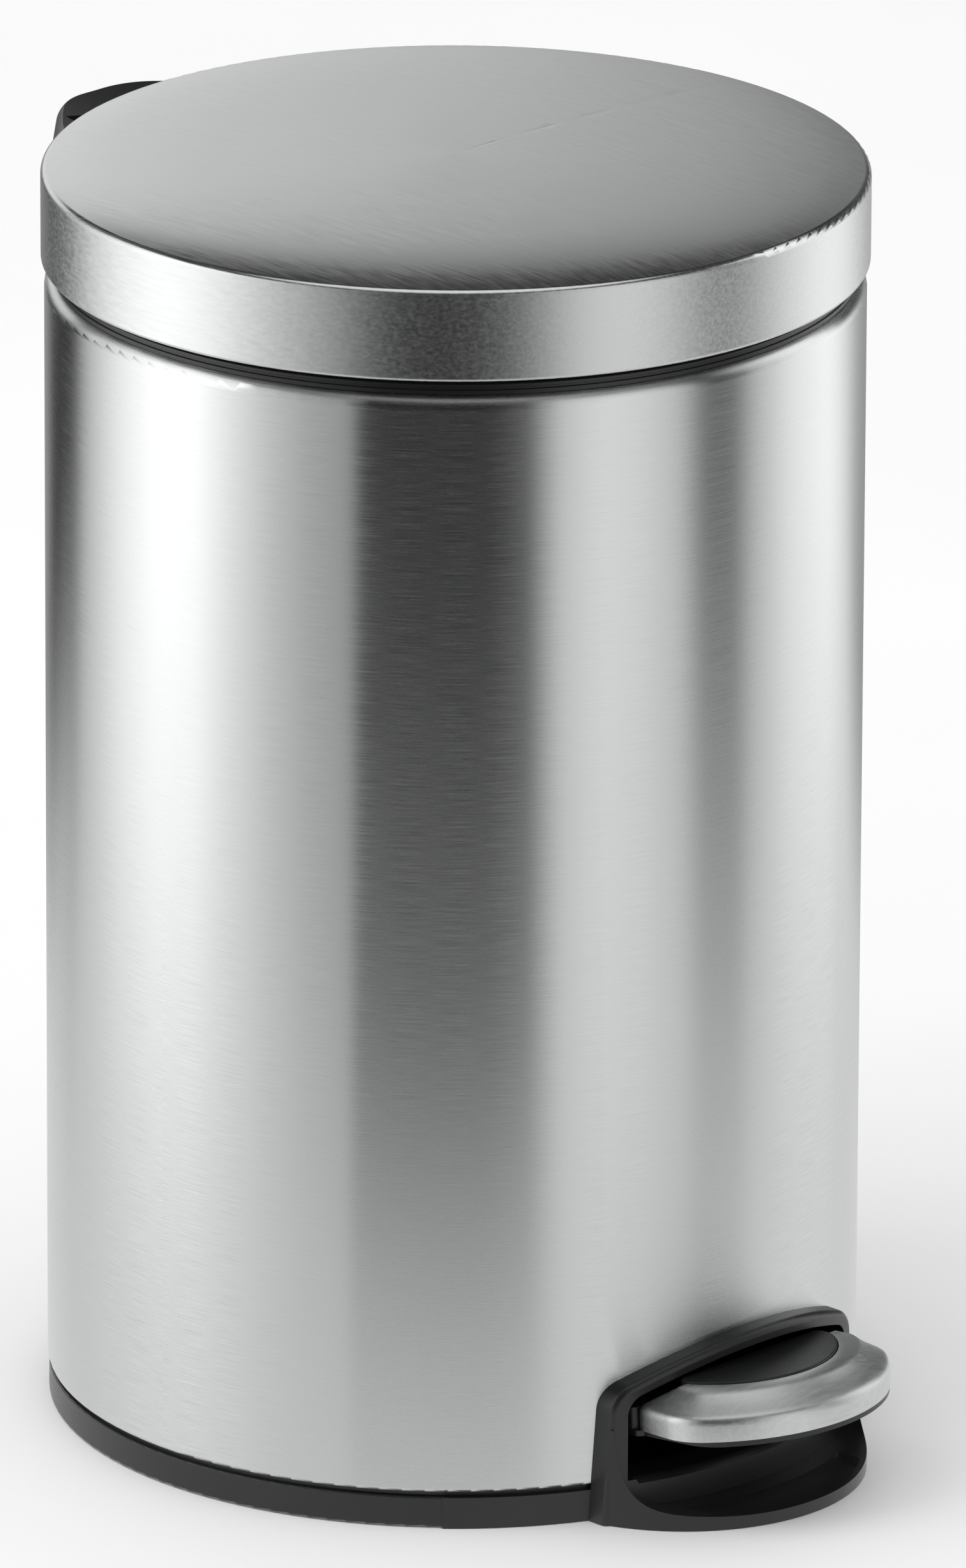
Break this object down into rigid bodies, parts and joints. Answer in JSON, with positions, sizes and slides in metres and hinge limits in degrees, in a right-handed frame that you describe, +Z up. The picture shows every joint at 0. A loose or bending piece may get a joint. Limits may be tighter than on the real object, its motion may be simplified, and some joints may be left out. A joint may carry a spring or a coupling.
{
  "type": "pedal trash can",
  "caption": "Round brushed-steel pedal bin with a hinged domed lid, front foot pedal in a black frame and scoop, lift-out inner bucket and push-rod lid mechanism.",
  "frame": {"origin": "centre of the can on the floor, in the flat underside of the bottom plate", "axes": "+Z up along the can's axis, -Y towards the pedal, +Y towards the lid's hinge, +X to the right of someone facing along +Y"},
  "size_m": [0.2924, 0.3793, 0.462],
  "materials": {
    "brushed_steel": "horizontally brushed stainless sheet",
    "lid_steel": "straight brushed stainless sheet",
    "satin_steel": "satin pressed stainless",
    "black_plastic": "satin moulded polypropylene",
    "pad_rubber": "satin elastomer",
    "bumper_rubber": "soft matte",
    "zinc_steel": "zinc-plated",
    "spring_steel": "phosphated spring steel",
    "bush_nylon": "natural nylon",
    "screw_steel": "zinc-plated screws",
    "bucket_plastic": "fine-grained polypropylene"
  },
  "bodies": {
    "can": {"outer_shell": "brushed_steel", "top_rim": "black_plastic", "base": "black_plastic", "bottom_plate": "black_plastic", "bottom_plate_screws": "screw_steel", "axle_bushes": "bush_nylon", "lever_bumper": "bumper_rubber", "rod_guides": "bush_nylon", "hinge_housing": "black_plastic", "hinge_pin": "zinc_steel", "hinge_pin_plugs": "black_plastic", "backing_plates": "zinc_steel", "housing_screws": "screw_steel"},
    "lid": {"lid_shell": "lid_steel", "lid_liner": "black_plastic", "lid_bracket": "black_plastic", "bracket_screws": "screw_steel", "crank_pin": "zinc_steel", "crank_pin_clips": "spring_steel", "lid_bumpers": "bumper_rubber"},
    "pedal": {"pedal_cover": "satin_steel", "pedal_core": "black_plastic", "pedal_pad": "pad_rubber", "pedal_screws": "screw_steel", "pedal_lever": "zinc_steel", "pedal_axle": "zinc_steel", "axle_clips": "spring_steel"},
    "rod": {"push_rod": "zinc_steel", "rod_foot": "bush_nylon", "rod_yoke": "bush_nylon"},
    "bucket": {"inner_bucket": "bucket_plastic"},
    "bail": {"bail_wire": "zinc_steel", "bail_grip": "black_plastic"}
  },
  "joints": [
    {"name": "lid_hinge", "type": "hinge", "parent": "can", "child": "lid", "pos_m": [0, 0.16, 0.4275], "axis": [-1, 0, 0], "range_deg": [0, 80]},
    {"name": "pedal_hinge", "type": "hinge", "parent": "can", "child": "pedal", "pos_m": [0, -0.062, 0.03], "axis": [1, 0, 0], "range_deg": [0, 10.51]},
    {"name": "rod_slide", "type": "slide", "parent": "can", "child": "rod", "axis": [0, 0, 1], "range_m": [0, 0.03635]},
    {"name": "bucket_lift", "type": "slide", "parent": "can", "child": "bucket", "axis": [0, 0, 1], "range_m": [0, 0.007]},
    {"name": "bail_swing", "type": "hinge", "parent": "bucket", "child": "bail", "pos_m": [0, 0, 0.4236], "axis": [-1, 0, 0], "range_deg": [0, 4.5]}
  ],
  "couplings": [
    {"joint": "pedal_hinge", "follows": "lid_hinge", "ratio": 0.13125},
    {"joint": "rod_slide", "follows": "lid_hinge", "m_per_rad": 0.026017}
  ]
}
